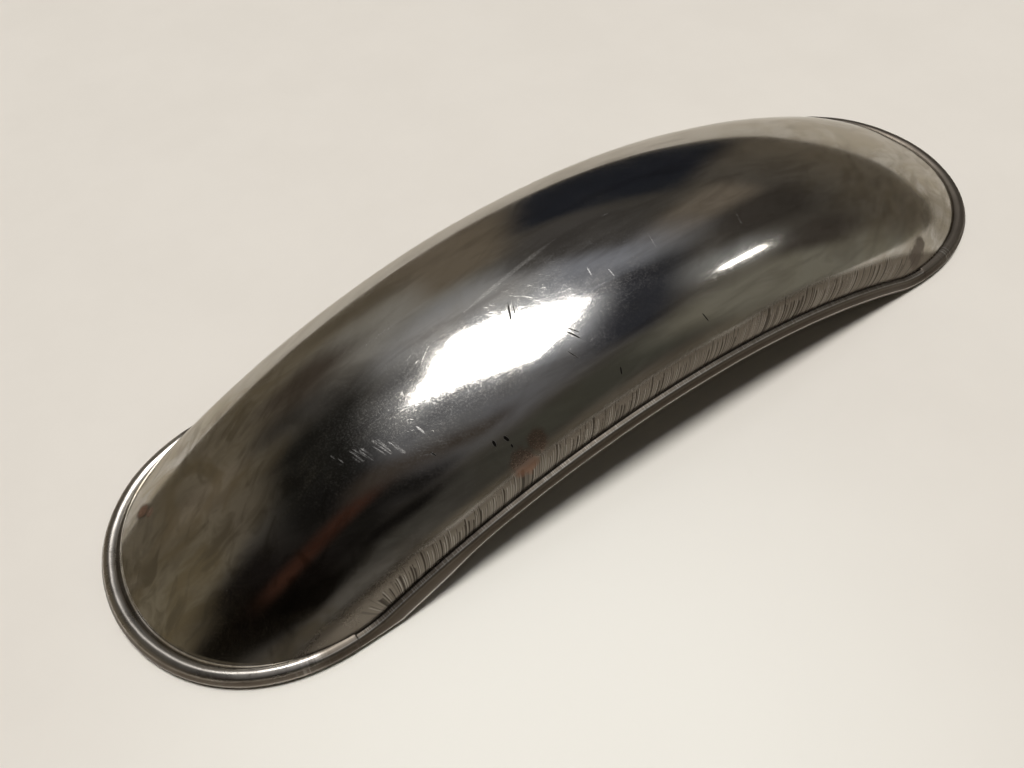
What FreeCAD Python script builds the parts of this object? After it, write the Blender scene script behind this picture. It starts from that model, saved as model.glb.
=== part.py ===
"""A bare sheet-steel motorcycle mudguard with a wired bead all round its rim.

The skin is a ring segment about the wheel axis with a half-elliptical section. Its two long edges are
rolled round a stiffening wire, and each end carries a bead of its own, pushed over the skin's edge.
X runs along the mudguard, Y across it, and Z up. The origin is on the surface that the two end beads
rest on, midway between them. Dimensions are in millimetres.
"""
import FreeCAD, Part
import math
import os

Vector = FreeCAD.Vector

# Driving dimensions.
CROWN_RADIUS = 370.0     # wheel axis to the outer face, along the crown
HALF_WIDTH = 60.0        # centre plane to the outer face at the foot of each side
SECTION_DEPTH = 31.5     # crown to the foot of the rounded section, towards the wheel axis
CROWN_HEIGHT = 67.5      # crown above the surface that the end beads rest on
SHEET = 1.0              # thickness of the sheet, and of the bead's wall
WIRE_DIAMETER = 4.75     # stiffening wire inside the bead
WIRE_CLEARANCE = 0.05    # between the wire and the sheet round it, on the radius
RAW_EDGE_GAP = 0.25      # between the skin's outer face and the rolled sheet's raw edge
WIRE_END_GAP = 0.5       # between the ends of two wires, at each corner
SPANS = 3                # pairs of arcs that follow a quarter of the rim at each end

# Worked out from the driving dimensions.
BORE_RADIUS = WIRE_DIAMETER / 2 + WIRE_CLEARANCE
BEAD_RADIUS = BORE_RADIUS + SHEET
AXIS_Z = CROWN_HEIGHT - CROWN_RADIUS
FOOT_RADIUS = CROWN_RADIUS - SECTION_DEPTH       # wheel axis to the foot of the rounded section
SIDE_RADIUS = FOOT_RADIUS - BEAD_RADIUS          # wheel axis to a side bead's centreline
REST_RISE = BEAD_RADIUS - AXIS_Z                 # wheel axis up to the end beads' centrelines
CORNER_X = math.sqrt(FOOT_RADIUS ** 2 - REST_RISE ** 2)
# The side bead sweeps down to the end bead in an arc that is tangent to both.
CORNER_RADIUS = ((CORNER_X ** 2 + REST_RISE ** 2 - SIDE_RADIUS ** 2) / (2 * (SIDE_RADIUS - REST_RISE)))
CORNER_Z = BEAD_RADIUS + CORNER_RADIUS
CORNER_ANGLE = math.atan2(CORNER_X, REST_RISE + CORNER_RADIUS)
OVERRUN = 4 * BEAD_RADIUS                        # how far cutters and blanks run past what they trim
BLANK_ANGLE = math.acos((REST_RISE - OVERRUN) / CROWN_RADIUS)

ACROSS = Vector(0, 1, 0)
UP = Vector(0, 0, 1)
WHEEL_AXIS = Vector(0, 0, AXIS_Z)
CORNER_AXIS = Vector(CORNER_X, 0, CORNER_Z)


def line(start, end):
    return Part.LineSegment(start, end).toShape()


def face(edges):
    return Part.Face(Part.Wire(Part.__sortEdges__(edges)))


def mirrored(shape):
    """The same shape on the other side of the centre plane."""
    return shape.mirror(Vector(0, 0, 0), ACROSS)


def turned(shape):
    """The same shape at the other end."""
    copy = shape.copy()
    copy.rotate(Vector(0, 0, 0), UP, 180)
    return copy


def joined(solids):
    return solids[0].fuse(solids[1:]).removeSplitter()


def section_arch(half_width, depth):
    """Half an ellipse across the mudguard, from one foot over the crown to the other."""
    centre = Vector(0, 0, AXIS_Z + FOOT_RADIUS)
    ellipse = Part.Ellipse(centre + Vector(0, half_width, 0), centre + Vector(0, 0, depth), centre)
    return Part.ArcOfEllipse(ellipse, 0, math.pi).toShape()


def section_arches():
    """The outer and the inner line of the skin's section."""
    return [
        section_arch(HALF_WIDTH, SECTION_DEPTH),
        section_arch(HALF_WIDTH - SHEET, SECTION_DEPTH - SHEET),
    ]


def circle_height(radius, across):
    return math.sqrt(radius ** 2 - across ** 2)


def curl_points(x, z):
    """The corners of a rolled edge whose wire is centred under the skin's outer face, at height z."""
    raw_y = HALF_WIDTH + RAW_EDGE_GAP
    inner_y = HALF_WIDTH - SHEET
    bore_top = Vector(x, HALF_WIDTH, z + BORE_RADIUS)
    raw_low = Vector(x, raw_y, z + circle_height(BORE_RADIUS, RAW_EDGE_GAP))
    raw_high = Vector(x, raw_y, z + circle_height(BEAD_RADIUS, RAW_EDGE_GAP))
    neck = Vector(x, inner_y, z + circle_height(BEAD_RADIUS, SHEET))
    return bore_top, raw_low, raw_high, neck


def curl_edges(x, z):
    """The rolled sheet's outline, from the skin's outer face round the wire to its inner face."""
    bore_top, raw_low, raw_high, neck = curl_points(x, z)
    bore_bottom = Vector(x, HALF_WIDTH, z - BORE_RADIUS)
    bead_bottom = Vector(x, HALF_WIDTH, z - BEAD_RADIUS)
    return [
        Part.Arc(bore_top, bore_bottom, raw_low).toShape(),
        line(raw_low, raw_high),
        Part.Arc(raw_high, bead_bottom, neck).toShape(),
    ]


def rolled_section():
    """The skin's whole section with both edges rolled, in the plane X = 0."""
    bead_z = AXIS_Z + SIDE_RADIUS
    foot_z = AXIS_Z + FOOT_RADIUS
    bore_top, _, _, neck = curl_points(0, bead_z)
    side = curl_edges(0, bead_z)
    side.append(line(Vector(0, HALF_WIDTH, foot_z), bore_top))
    side.append(line(neck, Vector(0, HALF_WIDTH - SHEET, foot_z)))
    return face(section_arches() + side + [mirrored(edge) for edge in side])


def corner_section():
    """The rolled edge alone, where the side bead meets the end bead."""
    bore_top, _, _, neck = curl_points(CORNER_X, BEAD_RADIUS)
    shoulder = Vector(CORNER_X, HALF_WIDTH, neck.z)
    return face(curl_edges(CORNER_X, BEAD_RADIUS) + [line(neck, shoulder), line(shoulder, bore_top)])


def blank_section():
    """The skin's section with straight feet that run past the bead, to be trimmed."""
    foot_z = AXIS_Z + FOOT_RADIUS
    low_z = foot_z - OVERRUN
    outer_y = HALF_WIDTH
    inner_y = HALF_WIDTH - SHEET
    side = [
        line(Vector(0, outer_y, foot_z), Vector(0, outer_y, low_z)),
        line(Vector(0, outer_y, low_z), Vector(0, inner_y, low_z)),
        line(Vector(0, inner_y, low_z), Vector(0, inner_y, foot_z)),
    ]
    return face(section_arches() + side + [mirrored(edge) for edge in side])


def around_wheel(section, start, end):
    """A section in the plane X = 0 swept round the wheel axis, between two angles from the crown."""
    blank = section.copy()
    blank.rotate(WHEEL_AXIS, ACROSS, math.degrees(start))
    return blank.revolve(WHEEL_AXIS, ACROSS, math.degrees(end - start))


def around_corner(section):
    """A section at the corner swept back up to where the side bead begins."""
    return section.revolve(CORNER_AXIS, ACROSS, math.degrees(CORNER_ANGLE))


def disc(centre, normal, radius):
    return Part.Face(Part.Wire(Part.Circle(centre, normal, radius).toShape()))


def rim_point(turn):
    """A point of the end bead's centreline, and its direction, at a share of a quarter turn."""
    angle = turn * math.pi / 2
    rise = FOOT_RADIUS + SECTION_DEPTH * math.sin(angle)
    x = math.sqrt(rise ** 2 - REST_RISE ** 2)
    point = Vector(x, HALF_WIDTH * math.cos(angle), BEAD_RADIUS)
    slope = rise * SECTION_DEPTH * math.cos(angle) / x
    direction = Vector(slope, -HALF_WIDTH * math.sin(angle), 0)
    return point, direction.normalize()


def arc_pair(start, start_way, end, end_way):
    """Two tangent arcs from one point and direction to another, each as (start, direction, end)."""
    chord = end - start
    ways = start_way + end_way
    along = chord.dot(ways)
    bend = 2 * (start_way.dot(end_way) - 1)
    reach = (along - math.sqrt(along ** 2 - bend * chord.dot(chord))) / bend
    first = start + start_way * reach
    second = end - end_way * reach
    middle = (first + second) / 2
    return [(start, start_way, middle), (middle, (second - first).normalize(), end)]


def quarter_arcs():
    """The end bead's centreline from the corner to the tip, as tangent arcs."""
    arcs = []
    for span in range(SPANS):
        start, start_way = rim_point(span / SPANS)
        end, end_way = rim_point((span + 1) / SPANS)
        arcs += arc_pair(start, start_way, end, end_way)
    return arcs


def arc_sweep(radius, bore, start, way, end):
    """A round bar, or a tube if bore isn't 0, along one arc that turns clockwise seen from above."""
    chord = end - start
    side = Vector(way.y, -way.x, 0)
    arc_radius = chord.dot(chord) / (2 * chord.dot(side))
    angle = 2 * math.asin(chord.Length / (2 * arc_radius))
    section = disc(start, way, radius)
    if bore:
        section = section.cut(disc(start, way, bore))
    return section.revolve(start + side * arc_radius, -UP, math.degrees(angle))


def end_sweep(radius, bore=0):
    """A round bar or tube along the whole rim of one end."""
    quarter = [arc_sweep(radius, bore, *arc) for arc in quarter_arcs()]
    return joined(quarter + [mirrored(piece) for piece in quarter])


def below_rim():
    """Everything under the beads' centrelines from the corner outwards, as a block."""
    side_end = WHEEL_AXIS + Vector(math.sin(CORNER_ANGLE), 0, math.cos(CORNER_ANGLE)) * SIDE_RADIUS
    back = Vector(-math.cos(CORNER_ANGLE), 0, math.sin(CORNER_ANGLE)) * OVERRUN
    half = CORNER_ANGLE / 2
    corner_mid = CORNER_AXIS - Vector(math.sin(half), 0, math.cos(half)) * CORNER_RADIUS
    corner_end = Vector(CORNER_X, 0, BEAD_RADIUS)
    far = Vector(CROWN_RADIUS, 0, BEAD_RADIUS)
    drop = Vector(0, 0, -CROWN_HEIGHT)
    outline = [
        line(side_end + back, side_end),
        Part.Arc(side_end, corner_mid, corner_end).toShape(),
        line(corner_end, far),
        line(far, far + drop),
        line(far + drop, side_end + back + drop),
        line(side_end + back + drop, side_end + back),
    ]
    block = face(outline).extrude(ACROSS * 2 * (HALF_WIDTH + OVERRUN))
    block.translate(-ACROSS * (HALF_WIDTH + OVERRUN))
    return block


def skin_end():
    """The skin from where the side bead ends to the tip, trimmed to stand on the end bead's wire."""
    blank = around_wheel(blank_section(), CORNER_ANGLE, BLANK_ANGLE)
    corner_bore = around_corner(disc(Vector(CORNER_X, HALF_WIDTH, BEAD_RADIUS), Vector(1, 0, 0), BORE_RADIUS))
    trimmed = blank.cut([below_rim(), corner_bore, mirrored(corner_bore), end_sweep(BORE_RADIUS)])
    curl = around_corner(corner_section())
    return joined([trimmed, curl, mirrored(curl)])


def make_skin():
    middle = around_wheel(rolled_section(), -CORNER_ANGLE, CORNER_ANGLE)
    end = skin_end()
    return joined([middle, end, turned(end)])


def make_end_bead(skin):
    return end_sweep(BEAD_RADIUS, BORE_RADIUS).cut(skin)


def make_end_wire():
    inside = Part.makeBox(OVERRUN, 2 * (HALF_WIDTH + OVERRUN), 2 * OVERRUN)
    inside.translate(Vector(CORNER_X + WIRE_END_GAP / 2 - OVERRUN, -HALF_WIDTH - OVERRUN, -OVERRUN))
    return end_sweep(WIRE_DIAMETER / 2).cut(inside)


def make_side_wire():
    radius = WIRE_DIAMETER / 2
    forward = Vector(1, 0, 0)
    middle = around_wheel(disc(Vector(0, HALF_WIDTH, AXIS_Z + SIDE_RADIUS), forward, radius),
                          -CORNER_ANGLE, CORNER_ANGLE)
    corner = around_corner(disc(Vector(CORNER_X, HALF_WIDTH, BEAD_RADIUS), forward, radius))
    beyond = Part.makeBox(OVERRUN, 2 * OVERRUN, 2 * OVERRUN)
    beyond.translate(Vector(CORNER_X - WIRE_END_GAP / 2, HALF_WIDTH - OVERRUN, -OVERRUN))
    corner = corner.cut(beyond)
    other_corner = corner.mirror(Vector(0, 0, 0), forward)
    return joined([middle, corner, other_corner])


def main():
    skin = make_skin()
    front_bead = make_end_bead(skin)
    front_wire = make_end_wire()
    left_wire = make_side_wire()
    nodes = {
        "fender_skin": skin,
        "front_end_bead": front_bead,
        "rear_end_bead": turned(front_bead),
        "edge_wire_front": front_wire,
        "edge_wire_rear": turned(front_wire),
        "edge_wire_left": left_wire,
        "edge_wire_right": mirrored(left_wire),
    }
    os.makedirs("parts", exist_ok=True)
    for name, shape in nodes.items():
        shape.exportStep("parts/" + name + ".step")
        box = shape.optimalBoundingBox()
        print(name, len(shape.Solids), "solid", shape.isValid(), round(shape.Volume, 1), "mm3",
              [round(v, 2) for v in (box.XMin, box.XMax, box.YMin, box.YMax, box.ZMin, box.ZMax)])


main()
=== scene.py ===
"""A bare polished-steel motorcycle mudguard, lying on a pale table.

Lengths are in metres in the CAD's frame: X along the mudguard, Y across it, Z up from the table.
"""
import math

import bpy
import numpy as np
from mathutils import Matrix, Vector


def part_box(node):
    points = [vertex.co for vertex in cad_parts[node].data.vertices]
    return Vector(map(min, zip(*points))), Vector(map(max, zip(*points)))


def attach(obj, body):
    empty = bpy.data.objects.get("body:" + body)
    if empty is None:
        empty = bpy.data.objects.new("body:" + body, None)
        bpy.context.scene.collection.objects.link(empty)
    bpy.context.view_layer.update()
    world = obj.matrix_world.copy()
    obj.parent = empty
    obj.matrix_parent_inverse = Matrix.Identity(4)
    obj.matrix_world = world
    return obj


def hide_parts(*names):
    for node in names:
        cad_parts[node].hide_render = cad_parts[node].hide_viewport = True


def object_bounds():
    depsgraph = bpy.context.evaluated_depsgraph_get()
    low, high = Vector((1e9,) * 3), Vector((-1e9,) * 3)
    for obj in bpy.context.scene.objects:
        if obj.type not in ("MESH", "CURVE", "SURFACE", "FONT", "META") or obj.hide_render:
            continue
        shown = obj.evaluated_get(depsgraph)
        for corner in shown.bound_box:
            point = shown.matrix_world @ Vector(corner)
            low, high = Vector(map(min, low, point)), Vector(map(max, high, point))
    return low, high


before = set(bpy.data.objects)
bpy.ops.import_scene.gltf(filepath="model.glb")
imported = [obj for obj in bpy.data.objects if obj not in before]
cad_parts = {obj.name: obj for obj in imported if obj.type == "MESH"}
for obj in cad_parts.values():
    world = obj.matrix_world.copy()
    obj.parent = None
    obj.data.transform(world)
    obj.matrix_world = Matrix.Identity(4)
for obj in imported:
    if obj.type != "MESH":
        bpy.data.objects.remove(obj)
cad_low, cad_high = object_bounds()

MM = 0.001
SHEET = 1.0 * MM                 # thickness of the skin and of the beads' wall
RAW_EDGE_GAP = 0.12 * MM         # between the skin and the rolled raw edge, closer than in the CAD

# The shape, worked out from the boxes of the CAD's nodes.
skin_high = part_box("fender_skin")[1]
end_low, end_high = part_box("front_end_bead")
BEAD_R = end_high[2] / 2
BORE_R = BEAD_R - SHEET
HALF_WIDTH = skin_high[1] - BEAD_R
CROWN_RISE = skin_high[2] - BEAD_R
TIP_X = end_high[0] - BEAD_R
CORNER_X = end_low[0]
CROWN_R = (TIP_X ** 2 + CROWN_RISE ** 2) / (2 * CROWN_RISE)
AXIS_Z = skin_high[2] - CROWN_R
REST_RISE = BEAD_R - AXIS_Z
FOOT_R = math.hypot(CORNER_X, REST_RISE)
DEPTH = CROWN_R - FOOT_R
SIDE_R = FOOT_R - BEAD_R
CORNER_R = (CORNER_X ** 2 + REST_RISE ** 2 - SIDE_R ** 2) / (2 * (SIDE_R - REST_RISE))
CORNER_Z = BEAD_R + CORNER_R
CORNER_ANGLE = math.atan2(CORNER_X, REST_RISE + CORNER_R)
SIDE_LENGTH = CORNER_ANGLE * (SIDE_R + CORNER_R)   # half a side bead, from its middle to its end
SHEET_END = 2.9 * MM             # from the end beads' centreline to the skin's edge, inside their walls
TIP_LIFT = 1.5 * MM              # the skin stands this much higher than the CAD's over the front bead
REAR_LIFT = 0.4 * MM             # and this much over the rear bead
SHOULDER_LIFT = 2.6 * MM         # the front left shoulder was beaten out fuller, by this much
SHOULDER_SWELL = (0.1, 0.6)      # angles from the crown: the shoulder swells up between these two
SHOULDER_FADE = (1.15, 1.5)      # and fades out between these
CORNER_DROP = 3.2 * MM           # the rear right corner of the side roll hangs this far below its wire
DROP_REACH = (85 * MM, 118 * MM)   # it starts and is complete this far behind the middle
HANG_FROM = (0.9, 1.9)           # angles round the side roll from its top: it hangs from here
HANG_TO = (3.6, 5.2)             # to here

# The marks that the making left. Heights and depths are in millimetres.
WAVES = ((36, 0.075, 1), (14, 0.010, 2))   # the planishing hammer's: size, height and seed
CHATTER_REACH = (6.5, 10.5)      # how far up the skin the edge roller's marks go
CHATTER_DEPTH = 0.06
CHATTER_LEAN = 0.6               # how far the marks lean forwards, for their height
LEAN_HEIGHT = 12 * MM            # the mesh's columns lean with them, up to about here
FAN_POWER = 24                   # the columns stop leaning, and fan out, only close to the tips
ROLLED_HEIGHT = 9.2              # the skin is darker and rougher up to here
ROLLED_EXTRA = 4.0               # and this much higher towards the rear
EXTRA_REACH = (105, 150)         # which starts and is complete this far behind the middle
ROLL_MARKS_END = (0.58, 0.70)    # angles round a side roll from its top: its marks fade out between them
BEAD_FLATS = ((0.0, math.radians(38)), (math.radians(38), math.radians(82)))
FLATNESS = 0.8                   # 1 would make them true flats
PAINTED_SHADE_FROM = (0.78, 1.12)         # angles round a bead from its top, between which painted shade on its lower side begins
PAINTED_GLINT_LINES = ((-32, 0.5), (33, 0.55))   # painted highlight lines: degrees round a bead, and how strong
PAINTED_LOW_GLINT = (96, 1.9)           # one more painted highlight line, just below where a bead is widest
LINE_WIDTH = 0.10                # an angle too, in radians
FILED_AT = 17                    # the file's marks on an end bead are strongest this far from its ends

# How finely the meshes are divided.
COLUMNS = 840
BAND_ROWS = 12
MIDDLE_ROWS = 74
BAND_ANGLE = math.radians(19)    # the part of each side's quarter turn that the edge roller has marked
BEAD_STEPS = 36
END_COLUMNS = 400


# Geometry

def ripple(along, across, size, seed):
    """Smooth random waves between -1 and 1, with bumps of about the given size."""
    table = np.random.default_rng(seed).uniform(-1, 1, (64, 64))
    a, b = along / size + 32, across / size + 32
    a0, b0 = np.floor(a).astype(int), np.floor(b).astype(int)
    fa, fb = a - a0, b - b0
    fa, fb = fa * fa * (3 - 2 * fa), fb * fb * (3 - 2 * fb)

    def corner(i, j):
        return table[(a0 + i) % 64, (b0 + j) % 64]

    low = corner(0, 0) * (1 - fa) + corner(1, 0) * fa
    high = corner(0, 1) * (1 - fa) + corner(1, 1) * fa
    return low * (1 - fb) + high * fb


def bumps(along, across, waves):
    """Random bumps in millimetres. Each wave is their size, their height and its seed."""
    return sum(height * ripple(along, across, size, seed) for size, height, seed in waves)


def smooth_step(value, low, high):
    """0 below low, 1 above high, and a smooth step between them."""
    share = np.clip((value - low) / (high - low), 0, 1)
    return share * share * (3 - 2 * share)


def skin_place(turn, along):
    """The radius and angle, about the mudguard's axle, of a place on the skin.

    Turn is the angle across the skin, from the crown, and along runs from -1 to 1. The lines of
    equal along lean forwards from the side rolls, and fan out towards the tips.
    """
    radius = FOOT_R + DEPTH * np.cos(turn)
    rim = np.arccos(REST_RISE / radius)
    flatness = np.cos(turn) / DEPTH / np.hypot(np.cos(turn) / DEPTH, np.sin(turn) / HALF_WIDTH)
    steepness = np.sqrt(1 - (flatness * np.cos(rim)) ** 2)
    reach = np.arccos((REST_RISE + SHEET_END * steepness) / radius)
    foot_reach = math.acos((REST_RISE + SHEET_END) / FOOT_R)
    fan = np.abs(along) ** FAN_POWER
    rise = DEPTH * np.cos(turn)
    lean = CHATTER_LEAN * LEAN_HEIGHT * np.tanh(rise / LEAN_HEIGHT) / radius
    return radius, along * (foot_reach + (reach - foot_reach) * fan) + lean * (1 - fan)


def skin_surface(turn, along, inset):
    """Points of the skin, inset from its outer surface, and the outward directions there."""
    radius, angle = skin_place(turn, along)
    up = np.cos(turn) / DEPTH
    out = np.sin(turn) / HALF_WIDTH
    size = np.hypot(up, out)
    up, out = up / size, out / size
    normal = np.stack([up * np.sin(angle), out, up * np.cos(angle)], -1)
    y = HALF_WIDTH * np.sin(turn)
    points = np.stack([radius * np.sin(angle), y, AXIS_Z + radius * np.cos(angle)], -1)
    tip = np.clip((np.abs(points[..., 0]) - CORNER_X / 2) / (TIP_X - CORNER_X / 2), 0, 1)
    shoulder = smooth_step(turn, *SHOULDER_SWELL) * (1 - smooth_step(turn, *SHOULDER_FADE)) * (along > 0)
    edge = 0.55 + 0.45 * smooth_step(1 - np.abs(along), 0, 0.03)
    tip_lift = np.where(along > 0, TIP_LIFT, REAR_LIFT) * np.cos(turn) ** 2
    lift = (tip_lift + SHOULDER_LIFT * shoulder * edge) * tip ** 2 - inset
    return points + normal * lift[..., None], normal


def side_path(place):
    """A side bead's centreline, at a length from its middle: X, Z, and the slope's angle."""
    length = np.abs(place)
    arc = np.minimum(length, SIDE_R * CORNER_ANGLE) / SIDE_R
    left = CORNER_ANGLE - np.maximum(length - SIDE_R * CORNER_ANGLE, 0) / CORNER_R
    on_arc = length < SIDE_R * CORNER_ANGLE
    x = np.where(on_arc, SIDE_R * np.sin(arc), CORNER_X - CORNER_R * np.sin(left))
    z = np.where(on_arc, AXIS_Z + SIDE_R * np.cos(arc), CORNER_Z - CORNER_R * np.cos(left))
    slope = np.where(on_arc, arc, left)
    return np.sign(place) * x, z, np.sign(place) * slope


def side_places(x):
    """The lengths along a side bead at which it has these X."""
    places = np.linspace(-SIDE_LENGTH, SIDE_LENGTH, 4001)
    return np.interp(x, side_path(places)[0], places)


def grid_faces(rows, columns, first=0, flip=False):
    """The faces of a grid of points, as (rows - 1) x (columns - 1) quads."""
    i, j = np.meshgrid(np.arange(rows - 1), np.arange(columns - 1), indexing="ij")
    a = first + i * columns + j
    quads = np.stack([a, a + 1, a + columns + 1, a + columns], -1).reshape(-1, 4)
    return quads[:, ::-1] if flip else quads


def stitch(fine, coarse, ratio, flip):
    """Triangles between two lines of points, one with ratio times as many steps as the other."""
    faces = []
    for k in range(len(coarse) - 1):
        for step in range(ratio):
            fan = coarse[k] if step < ratio / 2 else coarse[k + 1]
            faces.append((fine[k * ratio + step], fine[k * ratio + step + 1], fan))
            if step == ratio // 2 - 1:
                faces.append((fine[k * ratio + step + 1], coarse[k + 1], coarse[k]))
    return [face[::-1] for face in faces] if flip else faces


def make_piece(name, points, faces, **marks):
    """A smooth-shaded mesh object, with a value for each point under each mark's name."""
    mesh = bpy.data.meshes.new(name)
    mesh.from_pydata(points.tolist(), [], faces)
    mesh.shade_smooth()
    for mark, values in marks.items():
        layer = mesh.attributes.new(mark, "FLOAT", "POINT")
        layer.data.foreach_set("value", np.asarray(values, dtype=np.float32).ravel())
    piece = bpy.data.objects.new(name, mesh)
    bpy.context.collection.objects.link(piece)
    return piece


def chatter_columns(count, low, high, seed):
    """For each column, how strong the roller's mark is and how far up from the crease it reaches.

    A mark below 0 is a burnished, light one.
    """
    draw = np.random.default_rng(seed)
    depth = np.zeros(count)
    reach = np.full(count, low)
    column = 2
    while column < count - 2:
        strength = draw.uniform(0.3, 0.95)
        depth[column] = strength
        depth[column + 1] = -draw.uniform(0.2, 1.0)
        if draw.uniform() < 0.3:
            depth[column + 1] = strength
        reach[column - 1:column + 2] = draw.uniform(low, high)
        column += int(draw.integers(2, 4))
    return depth, reach


def facet(angle):
    """The share of the full radius at an angle from the top: rolling leaves two flats, then a round."""
    share = np.ones_like(angle)
    for start, end in BEAD_FLATS:
        middle, half = (start + end) / 2, (end - start) / 2
        chord = math.cos(half) / np.cos(np.clip(angle - middle, -half, half))
        share = np.where((angle > start) & (angle < end), share - FLATNESS * (1 - chord), share)
    return share


def underside(angle, polish):
    """1 on the lower half of a bead, for painted shade, but below 0 along its painted highlight lines.
    """
    share = smooth_step(angle, *PAINTED_SHADE_FROM)
    lines = [(line, strength * polish) for line, strength in PAINTED_GLINT_LINES]
    for line, strength in [*lines, PAINTED_LOW_GLINT]:
        share = share - strength * np.exp(-((angle - math.radians(line)) / LINE_WIDTH) ** 2)
    return share


def make_skin():
    """The domed sheet: waves left by the planishing hammer, and the edge roller's marks up each side."""
    band = np.linspace(math.pi / 2, math.pi / 2 - BAND_ANGLE, BAND_ROWS + 1)
    middle = np.linspace(-band[-1], band[-1], MIDDLE_ROWS + 1)
    turn = np.concatenate([-band[:-1], middle, band[:-1][::-1]])
    along = np.linspace(-1, 1, COLUMNS + 1)
    turns, alongs = np.meshgrid(turn, along, indexing="ij")
    points, normals = skin_surface(turns, alongs, 0)

    x_mm, y_mm = points[..., 0] / MM, turns * HALF_WIDTH / MM
    waves = bumps(x_mm, y_mm, WAVES)
    rise = (DEPTH * np.cos(turns)) / MM
    off_the_edges = smooth_step(1 - np.abs(alongs), 0, 0.05) * smooth_step(rise, 0, 3)

    groove = np.zeros_like(turns)
    rolled = np.zeros_like(turns)
    for side, seed in ((-1, 11), (1, 12)):
        depth, reach = chatter_columns(COLUMNS + 1, *CHATTER_REACH, seed)
        swell = 1 + 0.12 * ripple(x_mm[0], x_mm[0] * 0, 24, seed)
        here = np.sign(turns) == side
        fade = 1 - smooth_step(rise, reach * swell * 0.9, reach * swell + 0.01)
        groove += here * depth * fade * smooth_step(rise, 0.1, 0.6)
        top = ROLLED_HEIGHT * swell + ROLLED_EXTRA * smooth_step(-x_mm[0], *EXTRA_REACH)
        rolled += here * (1 - smooth_step(rise, top - 0.6, top + 2.2))
    groove *= smooth_step(1 - np.abs(alongs), 0.01, 0.07)
    push = (waves * off_the_edges - CHATTER_DEPTH * np.maximum(groove, 0) * off_the_edges) * MM
    points = points + normals * push[..., None]

    # The straight foot below each side, down into the rolled edge.
    def foot(row, side, inset):
        place = side_places(np.clip(points[row, :, 0], -CORNER_X, CORNER_X))
        x, z, slope = side_path(place)
        low = BORE_R + 0.1 * MM
        y = np.full_like(x, side * (HALF_WIDTH - inset))
        return np.stack([x + low * np.sin(slope), y, z + low * np.cos(slope)], -1)

    outer = np.concatenate([foot(0, -1, 0)[None], points, foot(-1, 1, 0)[None]])
    inner, _ = skin_surface(turns, alongs, SHEET)
    inner = np.concatenate([foot(0, -1, SHEET)[None], inner, foot(-1, 1, SHEET)[None]])[::2, ::4]
    pad = ((1, 1), (0, 0))
    groove, rolled = np.pad(groove, pad), np.pad(rolled, pad, mode="edge")

    rows, columns = outer.shape[:2]
    rows_in, columns_in = inner.shape[:2]
    first = rows * columns
    number = np.arange(first).reshape(rows, columns)
    number_in = first + np.arange(rows_in * columns_in).reshape(rows_in, columns_in)
    faces = grid_faces(rows, columns, flip=True).tolist()
    faces += grid_faces(rows_in, columns_in, first).tolist()
    faces += stitch(number[0], number_in[0], 4, flip=False)
    faces += stitch(number[-1], number_in[-1], 4, flip=True)
    faces += stitch(number[:, 0], number_in[:, 0], 2, flip=True)
    faces += stitch(number[:, -1], number_in[:, -1], 2, flip=False)
    all_points = np.concatenate([outer.reshape(-1, 3), inner.reshape(-1, 3)])
    unmarked = np.zeros(rows_in * columns_in)
    return make_piece("fender_sheet", all_points, faces,
                      groove=np.concatenate([groove.ravel(), unmarked]),
                      rolled=np.concatenate([rolled.ravel(), unmarked]),
                      inside=np.concatenate([np.zeros(first), unmarked + 1]))


def make_side_roll(name, side, seed):
    """The long edge of the sheet rolled round its wire: an open C with a raw edge beside the skin."""
    place = np.linspace(-SIDE_LENGTH, SIDE_LENGTH, COLUMNS + 1)
    x, z, slope = side_path(place)
    outer_from = math.asin(RAW_EDGE_GAP / BEAD_R)
    outer_to = 2 * math.pi - math.asin(SHEET / BEAD_R)
    inner_from = math.asin(RAW_EDGE_GAP / BORE_R)
    around = np.linspace(outer_from, outer_to, BEAD_STEPS + 1)
    back = np.linspace(outer_to, inner_from, BEAD_STEPS // 2)
    angle = np.concatenate([around, back])
    radius = np.concatenate([np.full(around.shape, BEAD_R), np.full(back.shape, BORE_R)])
    outside = np.concatenate([np.ones(around.shape), np.zeros(back.shape)])

    depth, _ = chatter_columns(COLUMNS + 1, 1, 2, seed)
    near_edge = 1 - smooth_step(angle, *ROLL_MARKS_END)
    groove = depth[None, :] * (outside * near_edge)[:, None]
    places, angles = np.meshgrid(place / MM, angle, indexing="xy")
    lumps = bumps(places, angles * BEAD_R / MM, ((9, 0.05, seed), (3, 0.012, seed + 1)))
    share = 1 - (1 - facet(angles)) * outside[:, None]
    size = radius[:, None] * share + (lumps - 0.015 * groove) * outside[:, None] * MM
    out, up = size * np.sin(angle)[:, None], size * np.cos(angle)[:, None]
    if side < 0:
        room = np.maximum(z - BEAD_R, 0)
        hang = np.minimum(room, CORNER_DROP * smooth_step(-x, *DROP_REACH)) * (x < 0)
        hanging = smooth_step(angle, *HANG_FROM) * (1 - smooth_step(angle, *HANG_TO))
        up = up - hanging[:, None] * hang
    points = np.stack([x + up * np.sin(slope), side * (HALF_WIDTH + out), z + up * np.cos(slope)], -1)

    rows, columns = points.shape[:2]
    quads = grid_faces(rows + 1, columns, flip=side < 0) % (rows * columns)
    caps = []
    number = np.arange(rows * columns).reshape(rows, columns)
    for column, turned in ((0, side > 0), (columns - 1, side < 0)):
        cap = number[:, column].tolist()
        caps.append(cap[::-1] if turned else cap)
    # A lighter top: partly roller wear, partly painted highlight.
    rolled = np.broadcast_to((outside * near_edge)[:, None], groove.shape)
    # Painted shade on the roll's lower half, and painted highlight lines along it.
    under = np.broadcast_to(underside(angle, 1.0)[:, None], groove.shape)
    # The side rolls are darkened all along: satin steel with painted shade that takes out their
    # highlights.
    return make_piece(name, points.reshape(-1, 3), quads.tolist() + caps,
                      groove=groove, rolled=rolled, under=under, dull=np.ones(groove.shape))


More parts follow.
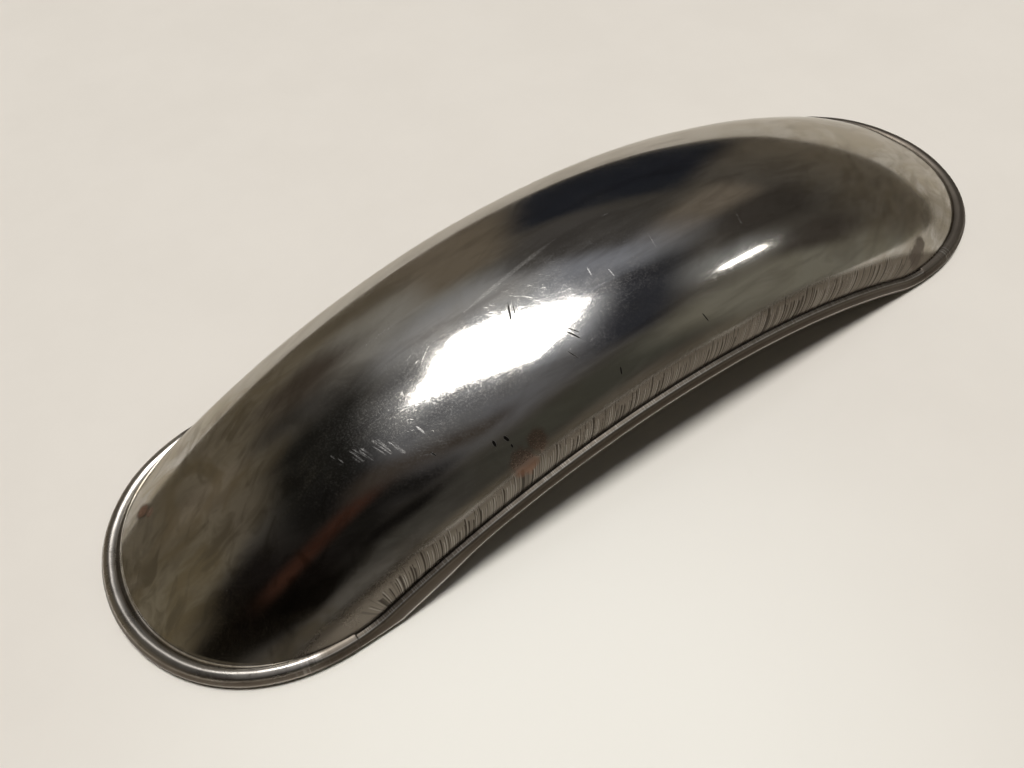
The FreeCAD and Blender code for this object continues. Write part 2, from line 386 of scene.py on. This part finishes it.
def rim_path(turn):
    """An end bead's centreline: X, Y and its direction, at an angle across the mudguard."""
    radius = FOOT_R + DEPTH * np.cos(turn)
    x = np.sqrt(radius ** 2 - REST_RISE ** 2)
    y = HALF_WIDTH * np.sin(turn)
    dx = -radius * DEPTH * np.sin(turn) / x
    dy = HALF_WIDTH * np.cos(turn)
    size = np.hypot(dx, dy)
    return x, y, dx / size, dy / size


def make_end_bead(name, end, dullness, seed):
    """The tube round one end, lightly hammered, with its ends dressed where it meets the side rolls."""
    turn = np.linspace(-math.pi / 2, math.pi / 2, END_COLUMNS + 1)
    x, y, dx, dy = rim_path(turn)
    length = np.concatenate([[0], np.cumsum(np.hypot(np.diff(x), np.diff(y)))]) / MM
    from_end = np.minimum(length, length[-1] - length)
    angle = np.linspace(0, 2 * math.pi, BEAD_STEPS, endpoint=False)
    lengths, angles = np.meshgrid(length, angle, indexing="xy")
    lumps = bumps(lengths, angles * BEAD_R / MM, ((11, 0.06, seed), (4, 0.02, seed + 1)))
    dressed = np.exp(-((from_end - FILED_AT) / 6) ** 2) + 0.3 * np.exp(-(from_end / 8) ** 2)
    filed = dressed * np.random.default_rng(seed).uniform(-1, 1, END_COLUMNS + 1)
    size = BEAD_R * facet(angles) + (lumps + 0.012 * filed) * MM
    bore = np.full_like(size, BORE_R)

    def ring(radius):
        out, up = radius * np.sin(angles), radius * np.cos(angles)
        return np.stack([x + out * dy, y - out * dx, BEAD_R + up], -1)

    points = np.concatenate([ring(size), ring(bore)]).reshape(-1, 3)
    points[:, 2] = np.maximum(points[:, 2], cad_low[2])
    if end < 0:
        points *= (-1, -1, 1)
    columns = END_COLUMNS + 1
    shell = BEAD_STEPS * columns
    outer = grid_faces(BEAD_STEPS + 1, columns)
    outer = np.where(outer >= shell, outer - shell, outer)
    inner = outer[:, ::-1] + shell
    caps = []
    for k in range(BEAD_STEPS):
        a, b = k * columns, ((k + 1) % BEAD_STEPS) * columns
        caps.append([a, b, b + shell, a + shell])
        a, b = a + columns - 1, b + columns - 1
        caps.append([b, a, a + shell, b + shell])
    groove = np.concatenate([np.tile(filed, (BEAD_STEPS, 1)), np.zeros_like(size)])
    signed = np.where(angles > math.pi, angles - 2 * math.pi, angles)
    top = 1 - smooth_step(np.abs(signed), 0.65, 0.95)
    # polish scales the painted highlight lines, weaker on a darker bead.
    polish = 1 - 0.6 * dullness
    # A lighter top: partly roller wear, partly painted highlight.
    rolled = np.concatenate([0.8 * top, np.zeros_like(size)])
    # Painted shade on the bead's lower half, and painted highlight lines along it.
    under = np.concatenate([underside(signed, polish), np.zeros_like(size)])
    # Darker towards both ends, where the bead meets the side rolls: painted shade that fades its
    # highlight out.
    dull = np.maximum(dullness, 1 - smooth_step(from_end, 11, 18))
    return make_piece(name, points, outer.tolist() + inner.tolist() + caps, groove=groove,
                      rolled=rolled, under=under, dull=np.tile(dull, (2 * BEAD_STEPS, 1)))


# Materials

class Shader:
    """A material's node tree, with short names for the nodes that are used most."""

    def __init__(self, tree):
        self.tree = tree
        tree.nodes.clear()

    def add(self, kind, *links, **settings):
        """A node of this kind. Its first inputs take the links; settings are its own properties."""
        node = self.tree.nodes.new("ShaderNode" + kind)
        for key, value in settings.items():
            setattr(node, key, value)
        for socket, value in zip(node.inputs, links):
            self.set(socket, value)
        return node

    def set(self, socket, value):
        """Links a socket to another, or gives it a value of its own."""
        if isinstance(value, bpy.types.NodeSocket):
            self.tree.links.new(value, socket)
        elif value is not None:
            socket.default_value = value

    def math(self, operation, first, second=0.0, third=0.0):
        """Arithmetic on up to three values."""
        return self.add("Math", first, second, third, operation=operation).outputs[0]

    def ramp(self, value, low, high, bottom=0.0, top=1.0):
        """A smooth step from bottom to top as value goes from low to high."""
        node = self.add("MapRange", value, low, high, bottom, top, interpolation_type="SMOOTHSTEP")
        return node.outputs[0]

    def mix(self, share, first, second):
        """A colour between two."""
        node = self.add("Mix", data_type="RGBA")
        self.set(node.inputs["Factor"], share)
        self.set(node.inputs[6], first)
        self.set(node.inputs[7], second)
        return node.outputs[2]

    def paint(self, colour, layers):
        """A colour with layers over it. Each is where it lies, how strong it is, and its colour."""
        for where, strength, tone in layers:
            colour = self.mix(self.math("MULTIPLY", where, strength), colour, tone)
        return colour

    def most(self, values):
        """The largest of a number of values."""
        largest = values[0]
        for value in values[1:]:
            largest = self.math("MAXIMUM", largest, value)
        return largest

    def vector(self, operation, first, second=(0, 0, 0), output=0):
        """Arithmetic on two vectors. Output 0 is a vector, and output 1 a number."""
        return self.add("VectorMath", first, second, operation=operation).outputs[output]

    def place(self):
        """The place on the object, in metres in the CAD's frame."""
        return self.add("TexCoord").outputs["Object"]

    def mark(self, name):
        """A value that the mesh carries at its points."""
        return self.add("Attribute", attribute_name=name).outputs["Fac"]

    def noise(self, place, size, detail=2.0, rough=0.5, warp=0.0, stretch=(1, 1, 1), turn=(0, 0, 0)):
        """Noise between 0 and 1, with bumps of this size in metres."""
        mapping = self.add("Mapping", place, vector_type="TEXTURE")
        mapping.inputs["Rotation"].default_value = turn
        mapping.inputs["Scale"].default_value = stretch
        node = self.add("TexNoise", mapping.outputs[0])
        node.inputs["Scale"].default_value = 1 / size
        node.inputs["Detail"].default_value = detail
        node.inputs["Roughness"].default_value = rough
        node.inputs["Distortion"].default_value = warp
        return node.outputs[0]


def stroke(shader, place, start, end, width):
    """1 along a short straight mark, given by the X and Y of its ends, in millimetres."""
    a = Vector((start[0], start[1], 0)) * MM
    b = Vector((end[0], end[1], 0)) * MM
    flat = shader.vector("MULTIPLY", place, (1, 1, 0))
    middle = shader.vector("SUBTRACT", flat, (a + b) / 2)
    way = (b - a).normalized()
    side = Vector((-way.y, way.x, 0))
    along = shader.math("ABSOLUTE", shader.vector("DOT_PRODUCT", middle, way, output=1))
    off = shader.math("ABSOLUTE", shader.vector("DOT_PRODUCT", middle, side, output=1))
    half = (b - a).length / 2
    taper = shader.ramp(along, half * 0.5, half, width * MM, width * 0.2 * MM)
    inside = shader.math("LESS_THAN", along, half)
    across = shader.ramp(shader.math("DIVIDE", off, taper), 0.5, 1.0, 1.0, 0.0)
    return shader.math("MULTIPLY", inside, across)


def strokes(shader, place, marks):
    """1 along any of a number of short straight marks."""
    return shader.most([stroke(shader, place, *mark) for mark in marks])


def spot(shader, place, centre, radius, ragged):
    """1 at a place in millimetres, fading to 0 at a radius, with a ragged edge."""
    away = shader.vector("DISTANCE", place, Vector(centre) * MM, output=1)
    reach = shader.math("MULTIPLY_ADD", ragged, radius * MM, radius * 0.35 * MM)
    return shader.ramp(shader.math("DIVIDE", away, reach), 0.55, 1.0, 1.0, 0.0)


def spots(shader, place, ragged, places):
    """1 at any of a number of places, each with its radius."""
    return shader.most([spot(shader, place, centre, radius, ragged) for centre, radius in places])


def new_material(name):
    """A material, its node tree's Shader, and the principled node that its surface comes from."""
    material = bpy.data.materials.new(name)
    material.use_nodes = True
    shader = Shader(material.node_tree)
    surface = shader.add("BsdfPrincipled")
    output = shader.add("OutputMaterial")
    material.node_tree.links.new(surface.outputs[0], output.inputs[0])
    return material, shader, surface


# Where the skin's marks are, in millimetres: the X and Y of a stroke's two ends, and its width.
NICKS = (
    ((-40, -10), (-44, -18), 0.55), ((-39, -12), (-41, -16), 0.35), ((-30, -32), (-27, -37), 0.5),
    ((-29, -31), (-26, -35), 0.35), ((-34, -38), (-32, -42), 0.3), ((-20, -51), (-21, -53), 0.4),
    ((20, -50), (21, -53), 0.3), ((-94, -38), (-93, -40), 0.35), ((-74, -47), (-74, -49), 0.8),
    ((-70, -48), (-69, -50), 0.8), ((-69, -51), (-69, -52), 0.5),
)
SCRATCHES = (
    ((62, -22), (60, -28), 0.26), ((-7, -15), (-8, -19), 0.35), ((-1, -20), (-1, -24), 0.2),
    ((14, 3), (18, 3), 0.22), ((23, -14), (21, -22), 0.22), ((-93, -28), (-92, -32), 0.5),
)
SCUFFS = (
    ((-116, -19), (-114, -26), 1.8), ((-113, -21), (-111, -28), 1.4), ((-108, -22), (-105, -30), 2.2),
    ((-104, -26), (-101, -33), 1.6), ((-122, -16), (-120, -22), 1.2),
)
RUBBED = (((-55, -3), (-7, 4), 1.2), ((-98, 12), (-60, 12), 1.0))

# The centre and radius of each spot.
RUST = (((-68, -56, 40), 8), ((-60, -54, 44), 6), ((-185, 29, 14), 4), ((-183, 25, 16), 3))
HEAT = (((142, -58, 15), 8), ((88, -59, 34), 2.5), ((147, -56, 17), 6), ((-185, 29, 14), 5))
# A darker patch low on the front tip.
DARK_TIP_PATCH = (((172, -46, 11), 22),)

# The hairline scratches' directions along the skin, in radians.
HAIRLINE_TURNS = (0.35, -0.5, 1.25, 2.3)


def oil_film(shader, place, x):
    """The oil film and the smears left by wiping, both thick at the two ends."""
    rear = shader.ramp(x, -0.10, -0.15)
    front = shader.ramp(x, 0.08, 0.18, 0.0, 0.9)
    ends = shader.math("MAXIMUM", rear, front)
    film = shader.ramp(shader.noise(place, 0.026, 4, 0.6, 1.0, stretch=(1.5, 1, 1)), 0.42, 0.62)
    film = shader.math("MULTIPLY", film, shader.math("MULTIPLY_ADD", ends, 0.8, 0.2))
    smears = shader.noise(place, 0.010, 3, 0.55, 1.5, stretch=(3.2, 1, 1), turn=(0, 0, 0.5))
    smears = shader.ramp(smears, 0.46, 0.70)
    smears = shader.math("MULTIPLY", smears, shader.math("MULTIPLY_ADD", ends, 0.75, 0.15))
    return film, smears


def scuffed(shader, place):
    """The scuffs: wide strokes broken up into fine hairs."""
    hairs = shader.noise(place, 0.0004, 2, 0.6, stretch=(1, 16, 16), turn=(0, 0, 0.35))
    return shader.math("MULTIPLY", strokes(shader, place, SCUFFS), shader.ramp(hairs, 0.44, 0.66))


def hairlines(shader, place, x):
    """Where the polish is worn, most of all round the middle, and the hairline scratches there."""
    lines = []
    for shift, turn in enumerate(HAIRLINE_TURNS):
        moved = shader.vector("ADD", place, (0.3 * shift, 0.2, 0.1))
        line = shader.noise(moved, 0.0005, 2, 0.6, stretch=(28, 1, 1), turn=(0, 0, turn))
        lines.append(shader.ramp(line, 0.64, 0.74))
    worn = shader.ramp(shader.noise(place, 0.022, 3, 0.6), 0.40, 0.66)
    middle = shader.ramp(shader.math("ABSOLUTE", shader.math("ADD", x, 0.03)), 0.05, 0.12, 1.0, 0.25)
    worn = shader.math("MULTIPLY", worn, middle)
    return worn, shader.math("MULTIPLY", shader.most(lines), worn)


def clean_skin(shader, place):
    """The colour of the polished steel itself, with long faint streaks."""
    tint = shader.ramp(shader.noise(place, 0.05, 2), 0.3, 0.7)
    clean = shader.mix(tint, (0.60, 0.585, 0.565, 1), (0.54, 0.53, 0.50, 1))
    streaks = shader.noise(place, 0.008, 3, 0.6, 0.6, stretch=(7, 1, 1))
    return shader.mix(shader.ramp(streaks, 0.42, 0.68, 0.0, 0.6), clean, (0.36, 0.34, 0.32, 1))


def mill_scale(shader, place):
    """The mottled dark colour of the inside, which was never polished."""
    mottle = shader.noise(place, 0.014, 5, 0.65, 0.8, stretch=(1.6, 1, 1))
    return shader.mix(shader.ramp(mottle, 0.38, 0.66), (0.075, 0.058, 0.046, 1), (0.21, 0.175, 0.14, 1))


def polished_steel():
    """The skin: worn mirror polish with haze, oil film, scratches, roller marks and a little rust."""
    material, shader, surface = new_material("polished steel")
    place = shader.place()
    x = shader.add("SeparateXYZ", place).outputs[0]
    groove, rolled, inside = (shader.mark(name) for name in ("groove", "rolled", "inside"))
    film, smears = oil_film(shader, place, x)
    worn, fine = hairlines(shader, place, x)
    ragged = shader.noise(place, 0.004, 4, 0.7)
    rust, heat, dark_tip_patch = (spots(shader, place, ragged, places) for places in (RUST, HEAT, DARK_TIP_PATCH))
    nicks = strokes(shader, place, NICKS)
    scraped = shader.math("MAXIMUM", strokes(shader, place, SCRATCHES), scuffed(shader, place))
    rubbed = strokes(shader, place, RUBBED)

    colour = shader.paint(clean_skin(shader, place), (
        (film, 0.85, (0.41, 0.37, 0.29, 1)),
        (smears, 1.0, (0.31, 0.29, 0.25, 1)),
        # The darker patch low on the front tip.
        (dark_tip_patch, 0.6, (0.20, 0.18, 0.14, 1)),
        # A darker band low on each side.
        (rolled, 0.95, (0.135, 0.115, 0.092, 1)),
        (shader.ramp(groove, 0.1, 0.8), 0.9, (0.030, 0.024, 0.019, 1)),
        (shader.ramp(groove, -0.1, -0.8), 0.7, (0.36, 0.34, 0.31, 1)),
        (heat, 0.85, (0.07, 0.055, 0.045, 1)),
        (scraped, 0.28, (0.7, 0.7, 0.7, 1)),
        (rust, 0.6, (0.27, 0.14, 0.09, 1)),
        (nicks, 1.0, (0.008, 0.007, 0.006, 1)),
        (inside, 1.0, mill_scale(shader, place)),
    ))
    shader.set(surface.inputs["Base Color"], colour)

    grain = shader.ramp(shader.noise(place, 0.0007, 3, 0.75), 0.46, 0.62)
    haze = shader.math("MULTIPLY_ADD", grain, 0.06, 0.065)
    for layer, share in ((worn, 0.04), (fine, 0.06), (film, 0.06), (rolled, 0.20), (rubbed, 0.08),
                         (rust, 0.15), (inside, 0.4), (scraped, 0.15), (nicks, 0.5)):
        haze = shader.math("MULTIPLY_ADD", layer, share, haze)
    shader.set(surface.inputs["Roughness"], haze)
    surface.inputs["Metallic"].default_value = 1.0
    surface.inputs["Specular Tint"].default_value = (0.70, 0.67, 0.62, 1)
    surface.inputs["Coat Weight"].default_value = 0.2
    surface.inputs["Coat Roughness"].default_value = 0.26

    cut = shader.math("MULTIPLY", fine, 0.22)
    cut = shader.math("MULTIPLY_ADD", shader.math("MULTIPLY", grain, worn), 0.06, cut)
    bump = shader.add("Bump", 0.5, 0.05 * MM, invert=True)
    shader.set(bump.inputs["Height"], cut)
    shader.set(surface.inputs["Normal"], bump.outputs[0])
    return material


def bead_steel():
    """The end beads and side rolls: brown satin, painted shade below, lighter tops of roller wear and
    painted highlight.
    """
    material, shader, surface = new_material("bead steel")
    place = shader.place()
    groove, rolled, under, dull = (shader.mark(name) for name in ("groove", "rolled", "under", "dull"))
    worn = shader.ramp(shader.noise(place, 0.012, 4, 0.6), 0.35, 0.68)
    dirt = shader.ramp(shader.noise(place, 0.0025, 4, 0.7), 0.54, 0.70)
    colour = shader.paint(shader.mix(worn, (0.26, 0.225, 0.19, 1), (0.38, 0.345, 0.305, 1)), (
        # Lighter tops: partly roller wear, partly painted highlight, brightest on the rear bead.
        (rolled, 1.0, (0.50, 0.475, 0.44, 1)),
        # Satin and painted shade: darkens the side rolls, the front bead and the ends of the rear bead.
        (dull, 0.93, (0.125, 0.106, 0.086, 1)),
        (dirt, 0.5, (0.12, 0.10, 0.08, 1)),
        # Painted shade on the lower halves, then the painted highlight lines.
        (shader.ramp(under, 0.0, 1.0), 0.8, (0.07, 0.055, 0.042, 1)),
        (shader.ramp(under, -0.1, -0.8), 0.9, (0.72, 0.70, 0.66, 1)),
        (shader.ramp(groove, 0.1, 0.8), 0.45, (0.10, 0.09, 0.075, 1)),
        (shader.ramp(groove, -0.1, -0.8), 0.30, (0.62, 0.60, 0.57, 1)),
    ))
    shader.set(surface.inputs["Base Color"], colour)
    rough = shader.math("MULTIPLY_ADD", worn, -0.05, 0.29)
    rough = shader.math("MULTIPLY_ADD", dull, 0.22, rough)
    shader.set(surface.inputs["Roughness"], rough)
    surface.inputs["Metallic"].default_value = 1.0
    bump = shader.add("Bump", 0.35, 0.03 * MM)
    shader.set(bump.inputs["Height"], shader.noise(place, 0.0008, 3, 0.6))
    shader.set(surface.inputs["Normal"], bump.outputs[0])
    return material


def wire_steel():
    """The drawn wire inside the beads."""
    material, shader, surface = new_material("wire steel")
    tone = shader.noise(shader.place(), 0.004, 3, 0.6)
    colour = shader.mix(tone, (0.30, 0.28, 0.26, 1), (0.46, 0.44, 0.42, 1))
    shader.set(surface.inputs["Base Color"], colour)
    shader.set(surface.inputs["Roughness"], shader.ramp(tone, 0.3, 0.7, 0.32, 0.48))
    surface.inputs["Metallic"].default_value = 1.0
    return material


def table_top():
    """Pale paint, with a painted pool of light beside the near side."""
    material, shader, surface = new_material("table top")
    place = shader.place()
    tone = shader.ramp(shader.noise(place, 0.06, 4, 0.6), 0.3, 0.7)
    plain = shader.mix(tone, (0.80, 0.76, 0.70, 1), (0.82, 0.78, 0.72, 1))
    # A painted pool of light on the table, brightest at its middle, beside the near side.
    painted_light_pool = shader.vector("DISTANCE", place, Vector((-0.11, -0.14, 0.0)), output=1)
    painted_light_pool = shader.ramp(painted_light_pool, 0.03, 0.22, 1.0, 0.0)
    shader.set(surface.inputs["Base Color"], shader.mix(painted_light_pool, plain, (0.92, 0.90, 0.84, 1)))
    surface.inputs["Roughness"].default_value = 0.6
    surface.inputs["Specular IOR Level"].default_value = 0.2
    return material


# The studio

CAMERA_AZIMUTH = -31.9
CAMERA_ELEVATION = 50.5
CAMERA_ROLL = -4.8
CAMERA_TARGET = (-0.046, -0.018, 0.030)
CAMERA_DISTANCE = 0.4063
CAMERA_LENS = 37.06              # in millimetres, as the sensor's width is


def direction(azimuth, elevation):
    """The way to a place round the object: azimuth 0 is -Y and 90 is +X, in degrees."""
    a, e = math.radians(azimuth), math.radians(elevation)
    return Vector((math.sin(a) * math.cos(e), -math.cos(a) * math.cos(e), math.sin(e)))


def outlook(azimuth, elevation, turn):
    """The way to a place round the object, and what is right and up there, turned by some degrees."""
    way = direction(azimuth, elevation)
    level = direction(azimuth + 90, 0)
    rise = way.cross(level)
    turn = math.radians(turn)
    right = level * math.cos(turn) + rise * math.sin(turn)
    up = rise * math.cos(turn) - level * math.sin(turn)
    return way, right, up


# Soft cards round the object: azimuth, elevation, half width, half height, softness and tilt in
# degrees, then the card's light as red, green and blue.
CARDS = (
    ((-150, 20, 38, 26, 8, 0), (0.150, 0.125, 0.088)),
    ((-110, 22, 16, 16, 8, 0), (0.190, 0.160, 0.110)),
    ((-130, 42, 8, 7, 6, 0), (0.130, 0.108, 0.078)),
    ((-180, 38, 13, 17, 8, 0), (0.270, 0.255, 0.225)),
    ((-156, 42, 7, 12, 6, 0), (0.055, 0.050, 0.044)),
    ((-97, 60, 34, 10, 5, 0), (0.013, 0.012, 0.010)),
    ((-76, 44, 22, 9, 6, 0), (0.010, 0.008, 0.007)),
    ((-66, 64, 24, 5, 4, 0), (0.010, 0.009, 0.008)),
    ((-60, 36, 24, 9, 5, 0), (0.004, 0.003, 0.002)),
    ((-73, 54, 12, 3.5, 4, 82), (0.050, 0.021, 0.013)),
    ((-45, 71, 18, 4, 4, 0), (0.060, 0.048, 0.038)),
    ((-166, 28, 7, 8, 5, 0), (0.070, 0.055, 0.042)),
    ((-142, 25, 5, 7, 4, 0), (0.200, 0.165, 0.120)),
    ((-8, 33, 18, 18, 8, 0), (0.060, 0.056, 0.047)),
    ((-22, 12, 10, 14, 7, 0), (0.110, 0.100, 0.085)),
    ((-30, 47, 10, 6, 5, 0), (0.008, 0.007, 0.006)),
    ((24, 36, 17, 14, 8, 0), (0.078, 0.076, 0.060)),
    ((58, 20, 17, 24, 8, 0), (0.215, 0.200, 0.160)),
    ((80, 26, 8, 8, 5, 0), (0.062, 0.052, 0.043)),
    ((103, 32, 9, 10, 5, 0), (0.052, 0.045, 0.038)),
    ((117, 38, 5, 12, 3, 0), (0.190, 0.160, 0.125)),
    ((143, 16, 14, 15, 3, 0), (0.018, 0.020, 0.026)),
    ((166, 15, 7, 24, 4, 0), (0.165, 0.135, 0.098)),
    ((146, 57, 24, 8, 9, 0), (0.260, 0.270, 0.300)),
    ((169, 55, 11, 7, 6, 0), (0.400, 0.390, 0.385)),
    ((141, 42, 12, 10, 4, 0), (0.070, 0.064, 0.058)),
    ((136, 77, 17, 11, 8, -6), (0.520, 0.540, 0.580)),
    ((74, 60, 18, 8, 5, 0), (0.030, 0.031, 0.037)),
    ((81, 43, 5, 8, 6, 0), (0.280, 0.280, 0.270)),
)


def light_world():
    """A dim studio round the object: soft cards in the directions that the polished skin reflects."""
    world = bpy.data.worlds.new("studio")
    world.use_nodes = True
    bpy.context.scene.world = world
    shader = Shader(world.node_tree)
    way = shader.add("TexCoord").outputs["Generated"]
    height = shader.add("SeparateXYZ", way).outputs[2]
    level, high = (0.140, 0.118, 0.088, 1), (0.085, 0.076, 0.064, 1)
    colour = shader.mix(shader.ramp(height, 0.0, 0.5), level, high)
    colour = shader.mix(shader.ramp(height, 0.75, 0.98), colour, (0.16, 0.16, 0.17, 1))

    for (azimuth, elevation, half_width, half_height, soft, tilt), tone in CARDS:
        centre, right, up = outlook(azimuth, elevation, tilt)
        ahead = shader.vector("DOT_PRODUCT", way, centre, output=1)
        depth = shader.math("MAXIMUM", ahead, 0.001)
        share = shader.math("GREATER_THAN", ahead, 0.01)
        for axis, half in ((right, half_width), (up, half_height)):
            off = shader.math("ABSOLUTE", shader.vector("DOT_PRODUCT", way, axis, output=1))
            off = shader.math("DIVIDE", off, depth)
            near = math.tan(math.radians(max(half - soft, 0.0)))
            far = math.tan(math.radians(half + soft))
            share = shader.math("MULTIPLY", share, shader.ramp(off, near, far, 1.0, 0.0))
        colour = shader.mix(share, colour, (*tone, 1))

    background = shader.add("Background", colour, 1.0)
    plain = shader.add("Background", (0.74, 0.71, 0.66, 1), 1.0)
    seen = shader.add("LightPath").outputs["Is Camera Ray"]
    mixed = shader.add("MixShader", seen, background.outputs[0], plain.outputs[0])
    shader.add("OutputWorld", mixed.outputs[0])


def add_lamp(name, kind, energy, colour, way, turn):
    """A lamp that shines along way, and is turned round it by some degrees."""
    data = bpy.data.lights.new(name, kind)
    data.energy = energy
    data.color = colour
    lamp = bpy.data.objects.new(name, data)
    bpy.context.collection.objects.link(lamp)
    aim = way.to_track_quat("-Z", "Y")
    lamp.rotation_mode = "QUATERNION"
    lamp.rotation_quaternion = aim @ Matrix.Rotation(math.radians(turn), 4, "Z").to_quaternion()
    return lamp


def add_table_light():
    """A broad, even light from nearly overhead, for the table. The steel doesn't mirror it."""
    lamp = add_lamp("table_light", "SUN", 2.45, (1.0, 0.98, 0.95), Vector((-0.02, 0.12, -1.20)), 0)
    lamp.data.angle = math.radians(17)
    lamp.visible_glossy = False


def add_panel(name, place, size, watts, colour, turn, on_matt):
    """A rectangular lamp aimed at the middle of the mudguard, for the steel and perhaps the table."""
    way = Vector((0, 0, 0.04)) - Vector(place)
    lamp = add_lamp(name, "AREA", watts, colour, way, turn)
    lamp.location = place
    lamp.data.shape = "RECTANGLE"
    lamp.data.size, lamp.data.size_y = size
    lamp.visible_diffuse = on_matt


def add_floor():
    """The table, seen out to the horizon."""
    reach = 8.0
    corners = [(-reach, -reach, 0), (reach, -reach, 0), (reach, reach, 0), (-reach, reach, 0)]
    floor = make_piece("floor", np.array(corners, dtype=float), [(0, 1, 2, 3)])
    floor.data.materials.append(table_top())


def add_camera():
    """The camera, close above the rear of the near side, looking down at the middle."""
    back, right, up = outlook(CAMERA_AZIMUTH, CAMERA_ELEVATION, CAMERA_ROLL)
    place = Vector(CAMERA_TARGET) + back * CAMERA_DISTANCE
    data = bpy.data.cameras.new("camera")
    data.lens = CAMERA_LENS
    data.sensor_width = 36.0
    data.clip_start = 0.01
    camera = bpy.data.objects.new("camera", data)
    bpy.context.collection.objects.link(camera)
    camera.matrix_world = Matrix((
        (right.x, up.x, back.x, place.x), (right.y, up.y, back.y, place.y),
        (right.z, up.z, back.z, place.z), (0, 0, 0, 1),
    ))
    bpy.context.scene.camera = camera


# Assembly

steel, bead, wire = polished_steel(), bead_steel(), wire_steel()
sheet = make_skin()
left_roll = make_side_roll("side_roll_left", 1, 21)
right_roll = make_side_roll("side_roll_right", -1, 31)
# The front bead is painted darker and the rear bead left light: painted shade and light on two like
# beads.
front_bead = make_end_bead("front_bead_tube", 1, 1.0, 41)
rear_bead = make_end_bead("rear_bead_tube", -1, 0.1, 51)

for piece, material, slot in (
    (sheet, steel, "polished_steel"), (left_roll, bead, "polished_steel"),
    (right_roll, bead, "polished_steel"), (front_bead, bead, "bead_steel"),
    (rear_bead, bead, "bead_steel"),
):
    piece.data.materials.append(material)
    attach(piece, "root")
for piece in (sheet, left_roll, right_roll):
    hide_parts("fender_skin")
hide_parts("front_end_bead")
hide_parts("rear_end_bead")
for node in ("edge_wire_front", "edge_wire_rear", "edge_wire_left", "edge_wire_right"):
    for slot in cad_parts[node].material_slots:
        slot.material = wire

add_floor()
light_world()
add_panel("overhead_panel", (0.06, 0.20, 1.20), (0.62, 0.40), 12.6, (1.0, 0.98, 0.95), -28, False)
add_table_light()
add_panel("side_panel", (0.88, -0.22, 0.79), (0.20, 0.04), 0.24, (1.0, 0.97, 0.92), -62, True)
add_camera()
bpy.context.scene.view_settings.view_transform = "Standard"
